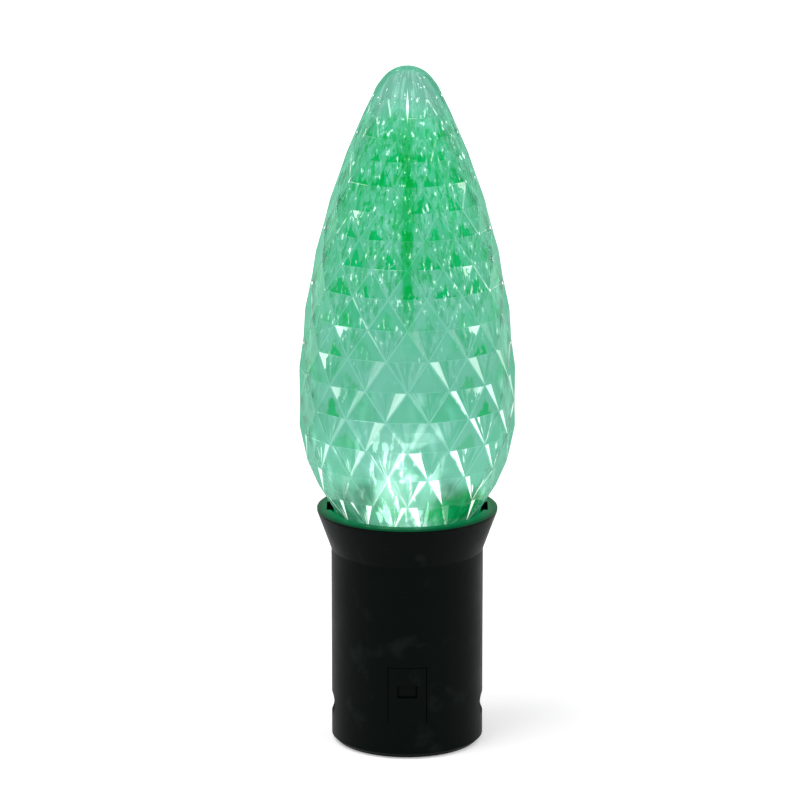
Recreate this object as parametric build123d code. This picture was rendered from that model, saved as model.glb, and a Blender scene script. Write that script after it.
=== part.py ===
from build123d import *
import math
import os

# Christmas light bulb: a faceted green LED lamp with a small screw base, standing in the moulded
# holder of a light string. Millimetres, Z up, origin at the middle of the holder's underside.
# The front is at -Y.

# Holder body
holder_height = 32.0
rim_radius = 12.15
flare_height = 5.6
body_wall = 1.0
rim_round = 0.5
mouth_radius = 10.0
mouth_depth = 2.2
mouth_lead = 0.3
notch_width = 4.0
notch_reach = 0.7
notch_depth = 2.4
floor_thickness = 2.0

# Cord passage under the holder's floor, for a flat two-core cord
cord_width = 5.3
cord_height = 2.6
core_pitch = 2.7
cord_clearance = 0.15

# Wire cap that snaps on from below
cap_height = 5.0
arm_width = 5.0
arm_thickness = 1.15
arm_height = 7.5
arm_clearance = 0.1
lug_width = 2.4
lug_height = 1.5
lug_reach = 0.8
lug_rise = 3.5
cap_edge = 0.6

# Contacts
sheet = 0.3
sleeve_length = 11.0
strip_width = 2.0
strip_play = 0.1
prong_point = 1.2
prong_bite = 1.9
spring_sheet = 0.4
spring_width = 3.0
spring_inset = 1.0
spring_foot = 2.6
spring_gap = 0.15

# Faceted cover, its round form taken through the corners of the facets
belly_radius = 14.4
belly_height = 13.6
cover_height = 59.4
tip_radius = 4.2
foot_play = 0.05
cover_wall = 1.5
neck_step = 0.15
neck_length = 4.0
neck_wall = 1.2
facets_around = 16
row_pitch = 4.0
first_row = -1.0
even_rows = 9
smooth_tip = 4.8
tip_ledge = 0.05
flutes_around = 32
hollow_bands = 10
tip_bands = 3

# Collar between the cover and the screw shell
collar_step = 0.2
collar_thickness = 1.0
collar_play = 0.1
spigot_height = 3.0
plug_depth = 3.0
collar_wall = 0.95

# Screw base
shell_radius = 8.25
thread_depth = 0.6
thread_pitch = 2.822
thread_turns = 3
shell_length = 11.0
shell_top_plain = 1.3
shell_clearance = 0.2
lip_width = 1.2
insulator_height = 3.3
insulator_step = 0.85
insulator_low_radius = 3.6
insulator_boss = 0.9
contact_radius = 3.2
contact_height = 0.7
solder_radius = 2.2
solder_height = 0.9

# Circuit board and its lamps
board_play = 0.6
board_thickness = 1.0
led_count = 3
led_ring = 3.3
led_radius = 1.5
led_flange_radius = 1.9
led_flange_height = 0.9
led_height = 5.3
lead_size = 0.5
lead_pitch = 2.2
lead_below = 1.3
lead_hole_play = 0.1
anode_height = 3.0
anvil_height = 2.4
anvil_width = 1.0
chip_size = 0.35
chip_thickness = 0.2

# Parts under the board
rectifier_length = 4.7
rectifier_width = 3.9
rectifier_height = 2.5
rectifier_standoff = 0.15
leg_width = 0.6
leg_thickness = 0.25
leg_pitch = 2.54
leg_reach = 0.75
wire_radius = 0.3
resistor_radius = 1.15
resistor_length = 6.3
resistor_drop = 4.0
resistor_place = (-2.4, 2.4)
capacitor_radius = 2.0
capacitor_length = 7.0
capacitor_drop = 4.4
capacitor_place = (2.75, 0.6)
capacitor_lead_pitch = 1.5
shell_wire_play = 0.2
shell_wire_drop = 9.0
shell_wire_bend = 1.2
contact_wire_drop = 1.3
contact_wire_bend = 0.9

# Heights that follow, measured from the underside
rim_z = holder_height
passage_height = cord_height + 2 * cord_clearance
passage_width = cord_width + 2 * cord_clearance
passage_top = cap_height + passage_height / 2
chamber_floor = passage_top + floor_thickness
neck_low = rim_z + first_row - neck_length
collar_low = neck_low - collar_thickness
shell_low = collar_low - shell_length
insulator_low = shell_low - insulator_height
contact_low = insulator_low - contact_height
solder_low = contact_low - solder_height
spring_top = solder_low - spring_gap
sleeve_bore = shell_radius + shell_clearance
sleeve_radius = sleeve_bore + sheet
sleeve_low = shell_low - 0.5
sleeve_top = sleeve_low + sleeve_length
recess_floor = sleeve_top + 0.2
board_low = neck_low + spigot_height
board_top = board_low + board_thickness

# Radii that follow from the shell and the mouth
bore_play = 0.05
recess_radius = sleeve_radius + 0.35
chamber_radius = sleeve_radius - 0.75
body_radius = recess_radius + body_wall
spring_base = chamber_radius - spring_inset
neck_radius = shell_radius + neck_step
neck_bore = neck_radius - neck_wall
collar_radius = neck_radius + collar_step
plug_radius = shell_radius - thread_depth - sheet - collar_play
collar_bore = plug_radius - collar_wall
board_radius = neck_bore - board_play
insulator_top_radius = shell_radius - insulator_step
shell_wire_radius = collar_bore - wire_radius - shell_wire_play
foot_inset = belly_radius - mouth_radius + foot_play
lower_curve = (foot_inset**2 + belly_height**2) / (2 * foot_inset)


def disc(radius, low, high):
    """Upright cylinder between two heights."""
    ends = (Align.CENTER, Align.CENTER, Align.MIN)
    return Pos(0, 0, low) * Cylinder(radius, high - low, align=ends)


def tube(outer, inner, low, high):
    """Upright tube between two heights."""
    return disc(outer, low, high) - disc(inner, low, high)


def block(x_span, y_span, z_span):
    """Box between two values on each axis."""
    low = (x_span[0], y_span[0], z_span[0])
    size = (x_span[1] - x_span[0], y_span[1] - y_span[0], z_span[1] - z_span[0])
    return Pos(*low) * Box(*size, align=(Align.MIN, Align.MIN, Align.MIN))


def turned(*corners):
    """Solid turned about Z from corners given as radius and height."""
    return revolve(Plane.XZ * make_face(Polyline(*corners, close=True)), Axis.Z)


def wire_along(points, bend, radius):
    """Round wire along straight runs joined by arcs."""
    path = FilletPolyline(*points, radius=bend)
    section = Plane(origin=path @ 0, z_dir=path % 0) * Circle(radius)
    return sweep(section, path=path)


def flat_sided(outlines):
    """Solid closed by flat faces, each given by its corners."""
    faces = [Face(Wire.make_polygon([Vector(*corner) for corner in ring])) for ring in outlines]
    return Solid(Shell(faces))


# Faceted cover


def flank_radius():
    """Radius of the long side curve, tangent to the belly and to the round tip."""
    rise = cover_height - tip_radius - belly_height
    return (belly_radius**2 - tip_radius**2 + rise**2) / (2 * (belly_radius - tip_radius))


def tip_joint(inset):
    """Height above the rim where the side curve turns into the round tip."""
    rise = cover_height - tip_radius - belly_height
    return belly_height + rise * (flank_radius() - inset) / (flank_radius() - tip_radius)


def form_radius(height, inset=0.0):
    """Radius of the cover's round form at a height above the rim, set in by a distance."""
    above = height - belly_height
    if height < belly_height:
        return belly_radius - lower_curve + math.sqrt((lower_curve - inset)**2 - above**2)
    if height < tip_joint(inset):
        return belly_radius - flank_radius() + math.sqrt((flank_radius() - inset)**2 - above**2)
    tip_centre = cover_height - tip_radius
    return math.sqrt(max(0.0, (tip_radius - inset)**2 - (height - tip_centre)**2))


def round_tip(inset, low):
    """Smooth end of the cover, turned, set in by a distance, from a height above the rim."""
    joint = tip_joint(inset)
    tip_centre = rim_z + cover_height - tip_radius
    round_radius = tip_radius - inset
    edge = (form_radius(joint, inset), rim_z + joint)
    middle = (math.asin((rim_z + joint - tip_centre) / round_radius) + math.pi / 2) / 2
    crown = (0, tip_centre + round_radius)
    bend = (round_radius * math.cos(middle), tip_centre + round_radius * math.sin(middle))
    side = Polyline(crown, (0, rim_z + low), (form_radius(low, inset), rim_z + low), edge)
    return revolve(Plane.XZ * make_face(Curve() + [side, ThreePointArc(edge, bend, crown)]), Axis.Z)


def hollow_heights(low):
    """Heights above the rim of the rings of the hollow, from its lowest to its top."""
    joint = tip_joint(cover_wall)
    heights = [low + (joint - low) * band / hollow_bands for band in range(hollow_bands + 1)]
    inner_tip = tip_radius - cover_wall
    centre = cover_height - tip_radius
    start = math.asin((joint - centre) / inner_tip)
    for step in range(1, tip_bands):
        turn = start + (math.pi / 2 - start) * step / tip_bands
        heights.append(centre + inner_tip * math.sin(turn))
    return heights


def hollow_form(low):
    """Inside of the cover: upright flutes that follow the round form."""
    rings = []
    for height in hollow_heights(low):
        radius = form_radius(height, cover_wall)
        turns = [2 * math.pi * (side + 0.5) / flutes_around for side in range(flutes_around)]
        rings.append([(radius * math.cos(turn), radius * math.sin(turn), rim_z + height)
                      for turn in turns])
    outlines = [rings[0], rings[-1]]
    for low_ring, high_ring in zip(rings, rings[1:]):
        for side in range(flutes_around):
            after = (side + 1) % flutes_around
            outlines.append([low_ring[side], low_ring[after], high_ring[after], high_ring[side]])
    return flat_sided(outlines)


def row_heights():
    """Heights above the rim of the rows of facet corners, closer together towards the tip."""
    rows = [first_row + row_pitch * row for row in range(even_rows)]
    while rows[-1] < cover_height - smooth_tip:
        narrowing = form_radius(rows[-1] + row_pitch / 2) / belly_radius
        rows.append(rows[-1] + row_pitch * math.sqrt(narrowing))
    return rows


def facet_corner(row, height, place):
    """Corner of the facets; every second row is turned by half a facet."""
    turn = 2 * math.pi * (place + ((row + 1) % 2) / 2) / facets_around
    radius = form_radius(height)
    return (radius * math.cos(turn), radius * math.sin(turn), rim_z + height)


def faceted_blank():
    """Solid bounded by rows of flat triangles, each row offset from the one below."""
    rows = row_heights()
    rings = []
    for row, height in enumerate(rows):
        rings.append([facet_corner(row, height, place) for place in range(facets_around)])
    outlines = [rings[0], rings[-1]]
    for row in range(len(rows) - 1):
        low, high = rings[row], rings[row + 1]
        lead = (row + 1) % 2
        for place in range(facets_around):
            after = (place + 1) % facets_around
            outlines.append([low[place], low[after], high[(place + lead) % facets_around]])
            outlines.append([high[place], high[after], low[(place + 1 - lead) % facets_around]])
    return flat_sided(outlines)


def faceted_cover():
    """Clear green cover: faceted outside, smooth at its tip, fluted inside, open at its neck."""
    top_row = row_heights()[-1]
    flat_depth = form_radius(top_row) * (1 - math.cos(math.pi / facets_around))
    tip = round_tip(flat_depth + tip_ledge, top_row)
    neck = disc(neck_radius, neck_low, rim_z + first_row + row_pitch / 2)
    hollow_low_radius = neck_bore / math.cos(math.pi / flutes_around) + tip_ledge
    across = lower_curve - belly_radius + hollow_low_radius
    bore_top = belly_height - math.sqrt((lower_curve - cover_wall)**2 - across**2)
    bore = disc(neck_bore, neck_low, rim_z + bore_top)
    return faceted_blank() + tip + neck - hollow_form(bore_top) - bore


# Screw base


def lamp_collar():
    """Ring that carries the cover's neck above and the screw shell below."""
    flange = disc(collar_radius, collar_low, neck_low)
    spigot = disc(neck_bore - collar_play, neck_low, board_low)
    plug = disc(plug_radius, collar_low - plug_depth, collar_low)
    return flange + spigot + plug - disc(collar_bore, collar_low - plug_depth, board_low)


def screw_shell():
    """Rolled metal shell with a lip turned in at its lower end; the thread is drawn as rings."""
    root = shell_radius - thread_depth
    inner = root - sheet
    corners = [(inner, collar_low), (shell_radius, collar_low)]
    for turn in range(thread_turns):
        top = collar_low - shell_top_plain - thread_pitch * turn
        corners.append((shell_radius, top))
        corners.append((root, top - 0.5 * thread_pitch))
    corners.append((shell_radius, collar_low - shell_top_plain - thread_pitch * thread_turns))
    corners.append((root, shell_low))
    corners.append((root - lip_width, shell_low))
    corners.append((root - lip_width, shell_low + sheet))
    corners.append((inner, shell_low + sheet))
    return turned(*corners)


def base_insulator():
    """Cone between the shell and the centre contact, with a hole for the contact wire."""
    boss_radius = shell_radius - thread_depth - lip_width - collar_play
    cone = turned((0, insulator_low), (insulator_low_radius, insulator_low),
                  (insulator_top_radius, shell_low - 0.4), (insulator_top_radius, shell_low),
                  (boss_radius, shell_low), (boss_radius, shell_low + insulator_boss),
                  (0, shell_low + insulator_boss))
    hole = disc(wire_radius + collar_play, insulator_low, shell_low + insulator_boss)
    return cone - hole


def centre_contact():
    """Small brass disc at the bottom of the lamp."""
    edge = 0.25
    return turned((0, contact_low), (contact_radius - edge, contact_low),
                  (contact_radius, contact_low + edge), (contact_radius, insulator_low),
                  (0, insulator_low))


def solder_tip():
    """Low dome of solder under the centre contact."""
    ball = (solder_radius**2 + solder_height**2) / (2 * solder_height)
    half_turn = math.asin(solder_radius / ball) / 2
    middle = (ball * math.sin(half_turn), solder_low + ball * (1 - math.cos(half_turn)))
    profile = Curve() + [
        ThreePointArc((0, solder_low), middle, (solder_radius, contact_low)),
        Line((solder_radius, contact_low), (0, contact_low)),
        Line((0, contact_low), (0, solder_low))]
    return revolve(Plane.XZ * make_face(profile), Axis.Z)


# Circuit board and its lamps


def led_places():
    """Turn and centre of each small lamp on the board."""
    places = []
    for index in range(led_count):
        turn = 90 + 360 * index / led_count
        places.append(Rot(0, 0, turn) * Pos(led_ring, 0, 0))
    return places


def led_lead(side, top):
    """Square lead of one lamp, at one side of its centre."""
    middle = side * lead_pitch / 2
    span = (middle - lead_size / 2, middle + lead_size / 2)
    thick = (-lead_size / 2, lead_size / 2)
    return block(thick, span, (board_low - lead_below, top))


def led_anode():
    """Long lead that ends in a plain post."""
    post_top = board_top + anode_height
    bridge = block((-lead_size / 2, lead_size / 2), (0.35, lead_pitch / 2),
                   (post_top - lead_size, post_top))
    return led_lead(1, post_top) + bridge


def led_cathode():
    """Short lead that ends in the cup under the chip."""
    cup_top = board_top + anvil_height
    span = (-lead_pitch / 2 - lead_size / 2, 0.0)
    thick = (-anvil_width / 2, anvil_width / 2)
    return led_lead(-1, cup_top) + block(thick, span, (cup_top - 2 * lead_size, cup_top))


def led_chip():
    """Light-giving chip on the cup."""
    low = board_top + anvil_height
    middle = -0.5 * chip_size - 0.15
    span = (middle - chip_size / 2, middle + chip_size / 2)
    return block((-chip_size / 2, chip_size / 2), span, (low, low + chip_thickness))


def led_lens():
    """Clear round body cast about the leads and the chip."""
    round_z = board_top + led_height - led_radius
    flange = disc(led_flange_radius, board_top, board_top + led_flange_height)
    barrel = disc(led_radius, board_top, round_z)
    dome = Pos(0, 0, round_z) * Sphere(led_radius)
    dome = dome & disc(led_radius, round_z, round_z + led_radius)
    return flange + barrel + dome - led_anode() - led_cathode() - led_chip()


def led_board():
    """Round board with a hole for each lead."""
    board = disc(board_radius, board_low, board_top)
    hole_size = lead_size + 2 * lead_hole_play
    for place in led_places():
        for side in (-1, 1):
            middle = side * lead_pitch / 2
            span = (middle - hole_size / 2, middle + hole_size / 2)
            board -= place * block((-hole_size / 2, hole_size / 2), span, (board_low, board_top))
    return board


# Parts under the board


def rectifier_body():
    """Small moulded block that makes direct current."""
    top = board_low - rectifier_standoff
    block_half = Box(rectifier_length, rectifier_width, rectifier_height)
    body = Pos(0, 0, top - rectifier_height / 2) * block_half
    return chamfer(body.edges().filter_by(Axis.Z), 0.3)


def rectifier_leg(side_x, side_y):
    """Flat leg bent up to the board."""
    middle = side_x * leg_pitch / 2
    low = board_low - rectifier_standoff - rectifier_height / 2
    side = rectifier_width / 2
    across = (middle - leg_width / 2, middle + leg_width / 2)
    flat = block(across, (side, side + leg_reach), (low, low + leg_thickness))
    rise = block(across, (side + leg_reach - leg_thickness, side + leg_reach), (low, board_low))
    leg = flat + rise
    return leg if side_y > 0 else mirror(leg, Plane.XZ)


def ballast_resistor():
    """Round resistor body hung below the board by its lead."""
    top = board_low - resistor_drop
    body = Pos(*resistor_place, 0) * disc(resistor_radius, top - resistor_length, top)
    return chamfer(body.edges().filter_by(GeomType.CIRCLE), 0.35)


def resistor_lead():
    """Upper lead of the resistor."""
    return Pos(*resistor_place, 0) * disc(wire_radius, board_low - resistor_drop, board_low)


def capacitor_body():
    """Round can hung below the board by two leads."""
    top = board_low - capacitor_drop
    body = Pos(*capacitor_place, 0) * disc(capacitor_radius, top - capacitor_length, top)
    return chamfer(body.edges().filter_by(GeomType.CIRCLE), 0.3)


def capacitor_lead(side):
    """One of the capacitor's two leads."""
    place = (capacitor_place[0], capacitor_place[1] + side * capacitor_lead_pitch / 2, 0)
    return Pos(*place) * disc(wire_radius, board_low - capacitor_drop, board_low)


def shell_wire():
    """Wire from the board to the inside of the screw shell."""
    low = board_low - shell_wire_drop
    points = [(0, -shell_wire_radius, board_low), (0, -shell_wire_radius, low),
              (0, -plug_radius, low)]
    return wire_along(points, shell_wire_bend, wire_radius)


def contact_wire():
    """Wire from the resistor down through the insulator to the centre contact."""
    start = board_low - resistor_drop - resistor_length
    turn_low = start - contact_wire_drop
    across = math.hypot(*resistor_place)
    points = [(*resistor_place, start), (*resistor_place, turn_low),
              (0, 0, turn_low - 0.5 * across), (0, 0, insulator_low)]
    return wire_along(points, contact_wire_bend, wire_radius)


# Holder


def cord_passage():
    """Round-cornered way for the flat cord, right through along X."""
    reach = 2 * rim_radius
    corner = 0.45 * passage_height
    section = RectangleRounded(passage_width, passage_height, corner)
    way = extrude(Plane.YZ * section, amount=reach, both=True)
    return Pos(0, 0, cap_height) * way


def strip_blade(play):
    """Pointed strip that hangs from the sleeve and bites one core of the cord."""
    outer = sleeve_radius + play
    inner = sleeve_bore - play
    middle = core_pitch / 2
    half = strip_width / 2 + play
    tip = passage_top - prong_bite - play
    corners = [(middle - half, sleeve_low), (middle - half, tip + prong_point),
               (middle, tip), (middle + half, tip + prong_point), (middle + half, sleeve_low)]
    outline = Plane.YZ * make_face(Polyline(*corners, close=True))
    return extrude(outline, amount=outer + 1) & tube(outer, inner, tip - 1, sleeve_low)


def thread_sleeve():
    """Brass sleeve that the lamp screws into, with its own strip and prong."""
    return tube(sleeve_radius, sleeve_bore, sleeve_low, sleeve_top) + strip_blade(0.0)


def prong_blade(play):
    """Pointed prong of the centre spring, through the floor at the other core."""
    middle = -core_pitch / 2
    half = strip_width / 2 + play
    tip = passage_top - prong_bite - play
    top = chamber_floor + spring_sheet
    corners = [(middle - half, top), (middle - half, tip + prong_point),
               (middle, tip), (middle + half, tip + prong_point), (middle + half, top)]
    outline = Plane.YZ * make_face(Polyline(*corners, close=True))
    thick = spring_sheet + 2 * play
    return Pos(-spring_base - play, 0, 0) * extrude(outline, amount=thick)


def centre_spring():
    """Sprung leaf under the lamp's centre contact, with its own prong."""
    low = chamber_floor
    bend = -spring_foot
    top = spring_top
    corners = [(-spring_base, low), (bend, low), (-0.8, top - spring_sheet),
               (0.8, top - spring_sheet), (spring_foot, low + spring_sheet),
               (spring_foot + 0.3, low + 2 * spring_sheet), (0.9, top), (-0.9, top),
               (bend - 0.15, low + spring_sheet), (-spring_base, low + spring_sheet)]
    leaf = extrude(Plane.XZ * make_face(Polyline(*corners, close=True)), spring_width / 2, both=True)
    return leaf + prong_blade(0.0)


def arm_zone(play):
    """Space of the cap's two arms in the side of the holder, at +Y and -Y."""
    outer = rim_radius
    inner = body_radius - arm_thickness - play
    half = arm_width / 2 + play
    high = cap_height + arm_height + play
    zone = block((-half, half), (-outer, outer), (cap_height - 0.01 * play, high))
    return zone & tube(outer, inner, cap_height - 1, high)


def lugs(play):
    """Small catches on the holder that the arms' windows close over."""
    inner = body_radius - arm_thickness - 0.5
    outer = body_radius - arm_thickness + lug_reach + play
    half = lug_width / 2 + play
    low = cap_height + lug_rise - play
    high = cap_height + lug_rise + lug_height + play
    zone = block((-half, half), (-outer, outer), (low, high))
    return zone & tube(outer, inner, low, high)


def holder_body():
    """Moulded holder: flared rim, threaded well and a slot for each contact."""
    flare_z = rim_z - flare_height
    slant = (rim_radius - body_radius) / flare_height
    blank = turned((0, cap_height), (body_radius, cap_height), (body_radius, flare_z),
                   (rim_radius - slant * rim_round, rim_z - rim_round),
                   (rim_radius - 0.3 * rim_round, rim_z - 0.3 * rim_round),
                   (rim_radius - rim_round, rim_z), (0, rim_z))
    bore = sleeve_radius + bore_play
    well = turned((0, chamber_floor), (chamber_radius, chamber_floor),
                  (chamber_radius, sleeve_low), (bore, sleeve_low), (bore, recess_floor),
                  (recess_radius, recess_floor), (recess_radius, rim_z - mouth_depth),
                  (mouth_radius, rim_z - mouth_depth), (mouth_radius, rim_z - mouth_lead),
                  (mouth_radius + mouth_lead, rim_z), (0, rim_z))
    notch_out = mouth_radius + notch_reach
    half = notch_width / 2
    notches = block((-notch_out, notch_out), (-half, half), (rim_z - notch_depth, rim_z))
    body = blank - well - notches - cord_passage() - strip_blade(strip_play)
    return body - prong_blade(strip_play) - arm_zone(arm_clearance) + lugs(0.0)


def wire_cap():
    """Cap that closes the cord passage and holds on by two arms."""
    base = chamfer(disc(body_radius, 0, cap_height).edges().sort_by(Axis.Z)[0], cap_edge)
    outer = tube(body_radius, body_radius - arm_thickness, cap_height, cap_height + arm_height)
    half = arm_width / 2
    zone = block((-half, half), (-rim_radius, rim_radius), (cap_height, cap_height + arm_height))
    window = lugs(arm_clearance)
    through = block((-lug_width / 2 - arm_clearance, lug_width / 2 + arm_clearance),
                    (-rim_radius, rim_radius),
                    (cap_height + lug_rise - arm_clearance,
                     cap_height + lug_rise + lug_height + arm_clearance))
    return base + (outer & zone) - cord_passage() - window - through


def all_parts():
    """Every piece by name, where it stands."""
    parts = {
        "holder_body": holder_body(),
        "thread_sleeve": thread_sleeve(),
        "centre_spring": centre_spring(),
        "wire_cap": wire_cap(),
        "faceted_cover": faceted_cover(),
        "lamp_collar": lamp_collar(),
        "screw_shell": screw_shell(),
        "base_insulator": base_insulator(),
        "centre_contact": centre_contact(),
        "solder_tip": solder_tip(),
        "led_board": led_board(),
        "rectifier_body": rectifier_body(),
        "ballast_resistor": ballast_resistor(),
        "resistor_lead": resistor_lead(),
        "capacitor_body": capacitor_body(),
        "shell_wire": shell_wire(),
        "contact_wire": contact_wire(),
    }
    for number, place in enumerate(led_places(), start=1):
        parts[f"led_lens_{number}"] = place * led_lens()
        parts[f"led_anode_{number}"] = place * led_anode()
        parts[f"led_cathode_{number}"] = place * led_cathode()
        parts[f"led_chip_{number}"] = place * led_chip()
    corners = [(-1, -1), (1, -1), (1, 1), (-1, 1)]
    for number, corner in enumerate(corners, start=1):
        parts[f"rectifier_leg_{number}"] = rectifier_leg(*corner)
    for number, side in enumerate((-1, 1), start=1):
        parts[f"capacitor_lead_{number}"] = capacitor_lead(side)
    return parts


os.makedirs("parts", exist_ok=True)
for name, shape in all_parts().items():
    export_step(shape, f"parts/{name}.step")
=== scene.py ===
import math
import random

import bmesh
import bpy
from mathutils import Matrix, Vector


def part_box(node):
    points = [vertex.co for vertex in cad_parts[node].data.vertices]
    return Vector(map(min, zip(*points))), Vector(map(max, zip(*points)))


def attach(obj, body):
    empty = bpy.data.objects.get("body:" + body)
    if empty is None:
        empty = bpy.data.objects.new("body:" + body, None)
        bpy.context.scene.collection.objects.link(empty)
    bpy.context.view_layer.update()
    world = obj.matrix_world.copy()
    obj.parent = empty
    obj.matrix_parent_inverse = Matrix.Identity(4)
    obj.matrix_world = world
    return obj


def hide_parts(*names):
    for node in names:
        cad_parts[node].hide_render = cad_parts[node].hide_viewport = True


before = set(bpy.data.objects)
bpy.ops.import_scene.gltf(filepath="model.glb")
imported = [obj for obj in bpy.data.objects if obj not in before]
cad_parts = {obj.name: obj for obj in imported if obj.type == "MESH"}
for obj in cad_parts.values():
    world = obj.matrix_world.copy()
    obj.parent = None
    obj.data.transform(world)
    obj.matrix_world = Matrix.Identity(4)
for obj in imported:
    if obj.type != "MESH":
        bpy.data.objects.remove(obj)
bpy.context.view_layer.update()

# Meshes are made in millimetres and scaled when they become pieces. Materials, camera and lights
# are in metres.
MM = 0.001
FULL_TURN = 2 * math.pi
ORIGIN = (0, 0, 0)
scene = bpy.context.scene

# Cover, the same round form as the solids have; heights are above the holder's rim
RIM_Z = 32.0
BELLY_RADIUS = 14.4
BELLY_HEIGHT = 13.6
COVER_HEIGHT = 59.4
TIP_RADIUS = 4.2
FOOT_RADIUS = 9.95
COVER_WALL = 1.5
NECK_RADIUS = 8.4
NECK_BORE = 7.2
NECK_LENGTH = 4.0
FOOT_INSET = BELLY_RADIUS - FOOT_RADIUS
LOWER_CURVE = (FOOT_INSET**2 + BELLY_HEIGHT**2) / (2 * FOOT_INSET)
TIP_CENTRE = COVER_HEIGHT - TIP_RADIUS
TIP_RISE = TIP_CENTRE - BELLY_HEIGHT
FLANK = (BELLY_RADIUS**2 - TIP_RADIUS**2 + TIP_RISE**2) / (2 * (BELLY_RADIUS - TIP_RADIUS))

# Facets, and the smooth tip above them
FACETS_AROUND = 16
ROW_PITCH = 4.0
FIRST_ROW = -1.0
EVEN_ROWS = 9
RIDGE_HALF = 0.11
CREASE_HALF = 0.03
SMOOTH_TIP = 4.8
TIP_INSET = 0.137
TIP_LIFT = 0.002
TIP_RINGS = 16
TIP_ROUNDING = 3.0
ROUND_SIDES = 96

# Fluted inside
FLUTES = 96
FLUTE_DEPTH = 0.03
FLUTE_BANDS = 44
FLUTE_START = 0.15
INNER_TIP_RINGS = 7

# Kinds of the cover's faces, told to its material; a facet points to where its apex is
INSIDE = 0.0
POINTS_UP = 1.0
POINTS_DOWN = 2.0
STRIP = 3.0
TIP = 4.0
CORNER = 5.0

# Weights of left, right and apex at each corner of a facet, and the draws that vary the facets:
# their seed, and the mood of faces that have none of their own
CELL_UP = ((1, 0, 0), (0, 1, 0), (0, 0, 1))
CELL_DOWN = ((0, 1, 0), (1, 0, 0), (0, 0, 1))
SEED = 7
PLAIN_MOOD = 0.5

# Where facets gleam with painted highlights, where they have deep cores of painted shade, and
# where the painted shaft of light stands inside
GLEAM_TOP = 27.0
GLEAM_FADE = 14.0
GLEAM_LOW = 12.0
GLEAM_LOW_FADE = 4.0
GLEAM_LOWEST = 0.8
GLEAM_TURN = math.radians(-55)
GLEAM_POWER = 5
GLEAM_ELSEWHERE = 0.06
GLEAM_GAPS = 0.25
GLEAM_IN_GAPS = 0.1
CORES_START = 0.12
CORES_FULL = 0.4
CORES_FADE = 0.12
CORES_SIDE = 0.3
CORES_SIDE_FADE = 0.35
SHAFT_TURN = math.radians(-97)
SHAFT_POWER = 14

# Screw shell, under the cover
SHELL_TOP = 26.0
SHELL_LOW = 15.0
SHELL_RADIUS = 8.25
SHELL_PLAIN = 1.3
SHELL_ROWS = 96
THREAD_DEPTH = 0.6
THREAD_PITCH = 2.822
THREAD_FADE = 1.2
SHEET = 0.3
LIP_WIDTH = 1.2

# Small lamps on the board
LED_COUNT = 3
LED_RING = 3.3
LEAD_PITCH = 2.2


# Making pieces


def add_piece(name, bm, body, material, replaced):
    """Turns a mesh in millimetres into a piece that rides on a body and replaces a solid."""
    bmesh.ops.recalc_face_normals(bm, faces=bm.faces)
    mesh = bpy.data.meshes.new(name)
    bm.to_mesh(mesh)
    bm.free()
    mesh.transform(Matrix.Scale(MM, 4))
    mesh.materials.append(material)
    piece = bpy.data.objects.new(name, mesh)
    scene.collection.objects.link(piece)
    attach(piece, body)
    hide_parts(replaced)


def clamped(value):
    return max(0.0, min(1.0, value))


def polar(radius, turn, z):
    return (radius * math.cos(turn), radius * math.sin(turn), z)


def add_ring(bm, radii, z):
    """Ring of points at one height, from a list of radii."""
    return [bm.verts.new(polar(radius, FULL_TURN * side / len(radii), z))
            for side, radius in enumerate(radii)]


def around(point):
    return math.atan2(point.co.y, point.co.x) % FULL_TURN


def join_rings(bm, low, high, smooth=False):
    """Closes the band between two rings, which may differ in their number of points."""
    low = sorted(low, key=around)
    high = sorted(high, key=around)
    faces = []
    if len(low) == len(high):
        for side in range(len(low)):
            after = (side + 1) % len(low)
            faces.append(bm.faces.new([low[side], low[after], high[after], high[side]]))
    else:
        i = j = 0
        while i < len(low) or j < len(high):
            here_low, here_high = low[i % len(low)], high[j % len(high)]
            after_low, after_high = low[(i + 1) % len(low)], high[(j + 1) % len(high)]
            next_low = around(after_low) + (FULL_TURN if i + 1 >= len(low) else 0)
            next_high = around(after_high) + (FULL_TURN if j + 1 >= len(high) else 0)
            if j >= len(high) or (i < len(low) and next_low <= next_high):
                faces.append(bm.faces.new([here_low, after_low, here_high]))
                i += 1
            else:
                faces.append(bm.faces.new([here_low, after_high, here_high]))
                j += 1
    for face in faces:
        face.smooth = smooth
    return faces


def close_ring(bm, ring, z, smooth=False):
    """Closes a ring to a point on the axis."""
    pole = bm.verts.new((0, 0, z))
    ring = sorted(ring, key=around)
    faces = [bm.faces.new([ring[side], ring[(side + 1) % len(ring)], pole])
             for side in range(len(ring))]
    for face in faces:
        face.smooth = smooth
    return faces


# Cover


def tip_joint(inset):
    """Height above the rim where the side curve turns into the round tip."""
    return BELLY_HEIGHT + TIP_RISE * (FLANK - inset) / (FLANK - TIP_RADIUS)


def form_radius(height, inset=0.0):
    """Radius of the cover's round form at a height above the rim, set in by a distance."""
    above = height - BELLY_HEIGHT
    if height < BELLY_HEIGHT:
        return BELLY_RADIUS - LOWER_CURVE + math.sqrt((LOWER_CURVE - inset)**2 - above**2)
    if height < tip_joint(inset):
        return BELLY_RADIUS - FLANK + math.sqrt((FLANK - inset)**2 - above**2)
    return math.sqrt(max(0.0, (TIP_RADIUS - inset)**2 - (height - TIP_CENTRE)**2))


def row_heights():
    """Heights above the rim of the rows of facet corners; they close up towards the tip."""
    rows = [FIRST_ROW + ROW_PITCH * row for row in range(EVEN_ROWS)]
    while rows[-1] < COVER_HEIGHT - SMOOTH_TIP:
        narrowing = form_radius(rows[-1] + ROW_PITCH / 2) / BELLY_RADIUS
        rows.append(rows[-1] + ROW_PITCH * math.sqrt(narrowing))
    return rows


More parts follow.
